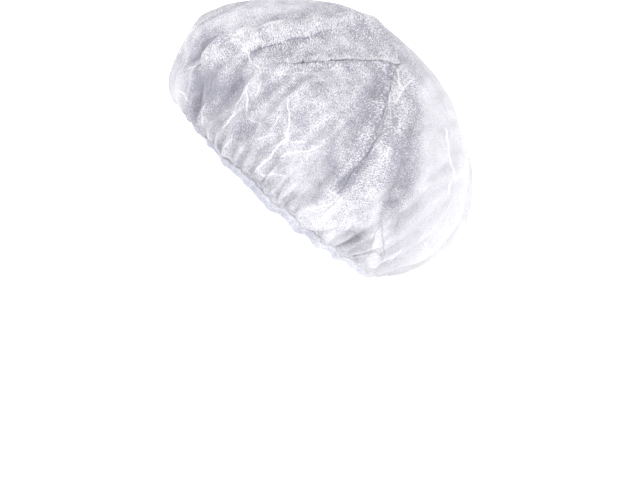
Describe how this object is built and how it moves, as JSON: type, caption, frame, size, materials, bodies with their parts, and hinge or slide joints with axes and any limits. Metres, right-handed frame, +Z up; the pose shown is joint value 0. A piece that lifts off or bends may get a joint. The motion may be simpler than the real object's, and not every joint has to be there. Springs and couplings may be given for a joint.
{
  "type": "bouffant hair cover cap",
  "caption": "Disposable bouffant cap of thin white nonwoven fabric, puffed as when worn, with folds and gathers and a narrow hem round a flat elastic loop.",
  "frame": {"origin": "centre of the elastic rim, where the head goes in", "axes": "+Z up, -Y towards the forehead side, +X towards the wearer's left; the rim plane slopes down to the back by 42 degrees"},
  "size_m": [0.217, 0.2648, 0.2454],
  "materials": {
    "crown_fabric": "matte thin spunbonded polypropylene, white and half see-through",
    "hem_fabric": "matte folded spunbonded polypropylene",
    "elastic_band": "matte flat elastic with a covering of polyester yarn"
  },
  "bodies": {
    "root": {"crown": "crown_fabric", "hem": "hem_fabric", "elastic": "elastic_band"}
  },
  "joints": []
}
